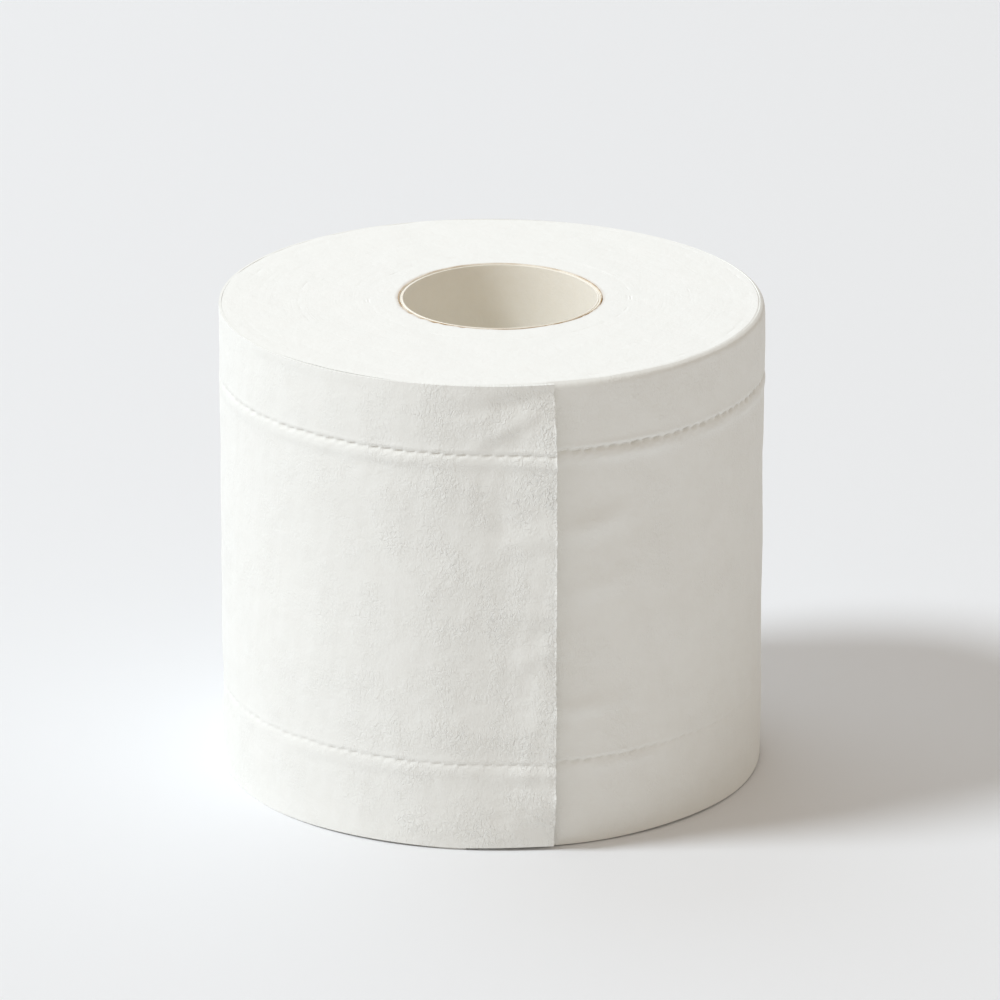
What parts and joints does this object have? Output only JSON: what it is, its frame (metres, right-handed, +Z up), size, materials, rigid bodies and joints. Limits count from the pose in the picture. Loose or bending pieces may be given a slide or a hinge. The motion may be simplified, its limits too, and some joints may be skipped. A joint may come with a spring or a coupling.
{
  "type": "toilet paper roll",
  "caption": "Toilet paper roll: white tissue wound on a card core, with a crimp line near each end and a loose perforated tail, standing on its end.",
  "frame": {"origin": "on the core's axis, on the surface that the roll stands on", "axes": "+Z up along the core's axis; -Y is the front, where the tail lies; +X is to the right seen from the front"},
  "size_m": [0.1118, 0.1127, 0.099],
  "materials": {
    "core_card": "matte spiral wound card, pale grey-brown with a light inner ply",
    "tissue": "matte white crepe tissue, soft and unprinted"
  },
  "bodies": {
    "root": {"core_tube": "core_card", "paper_winding": "tissue"}
  },
  "joints": []
}
